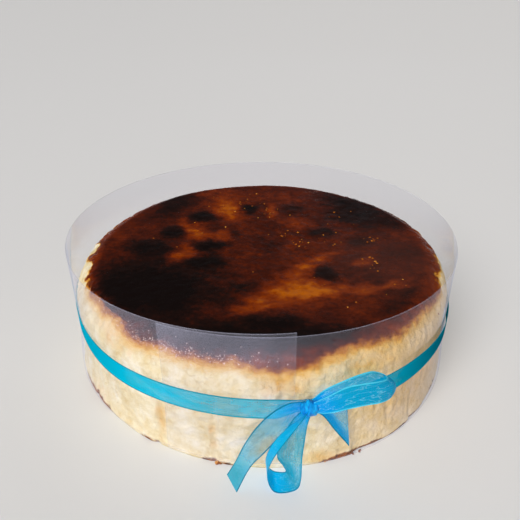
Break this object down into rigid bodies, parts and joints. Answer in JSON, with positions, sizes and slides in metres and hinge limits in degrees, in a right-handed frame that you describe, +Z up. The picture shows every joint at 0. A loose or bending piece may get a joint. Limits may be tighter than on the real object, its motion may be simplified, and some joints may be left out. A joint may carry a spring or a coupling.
{
  "type": "basque cheesecake",
  "caption": "Round baked cheesecake with a burnt top and creased pale sides, standing in a clear film collar tied round with a sheer turquoise ribbon and bow.",
  "frame": {"origin": "centre of the cake's flat base, at the level of the surface it stands on", "axes": "+Z up out of the burnt top, -Y towards the viewer, where the bow is, +X to the viewer's right"},
  "size_m": [0.2466, 0.2634, 0.0847],
  "materials": {
    "cheesecake": "matt baked side with a glossy burnt top",
    "acetate_film": "clear and glossy",
    "organza": "sheer with a silky shine"
  },
  "bodies": {
    "root": {"cheesecake": "cheesecake", "acetate_collar": "acetate_film", "ribbon": "organza"}
  },
  "joints": []
}
